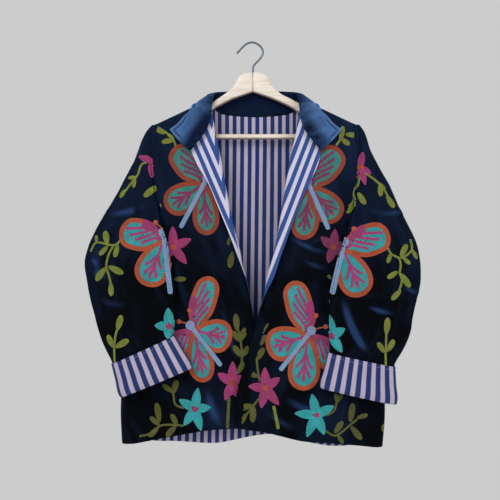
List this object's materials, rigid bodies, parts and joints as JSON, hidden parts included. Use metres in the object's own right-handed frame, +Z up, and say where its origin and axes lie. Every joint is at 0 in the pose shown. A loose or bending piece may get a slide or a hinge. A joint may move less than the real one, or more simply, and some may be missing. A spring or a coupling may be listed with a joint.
{
  "type": "embroidered velvet jacket on a wooden hanger",
  "caption": "Dark navy velvet jacket with chain-stitch butterflies and flowers and a striped lining, open on a wooden hanger.",
  "frame": {"origin": "under the top of the hook, where a rail carries the hanger", "axes": "+Z up along the hook's pull, +X to the wearer's left, -Y is the jacket's front"},
  "size_m": [0.6521, 0.0854, 0.8129],
  "materials": {
    "velvet": "matte pile",
    "lining": "matte, striped",
    "wood": "satin",
    "steel": "polished",
    "thread": "matte"
  },
  "bodies": {
    "root": {"back": "velvet", "front_right": "velvet", "front_left": "velvet", "sleeve_right": "velvet", "sleeve_left": "velvet", "cuff_right": "lining", "cuff_left": "lining", "collar": "velvet", "lining_back": "lining", "lining_front_right": "lining", "lining_front_left": "lining", "hanger_arm_right": "wood", "hanger_arm_left": "wood", "hanger_bar": "wood", "hanger_hook": "steel"}
  },
  "joints": []
}
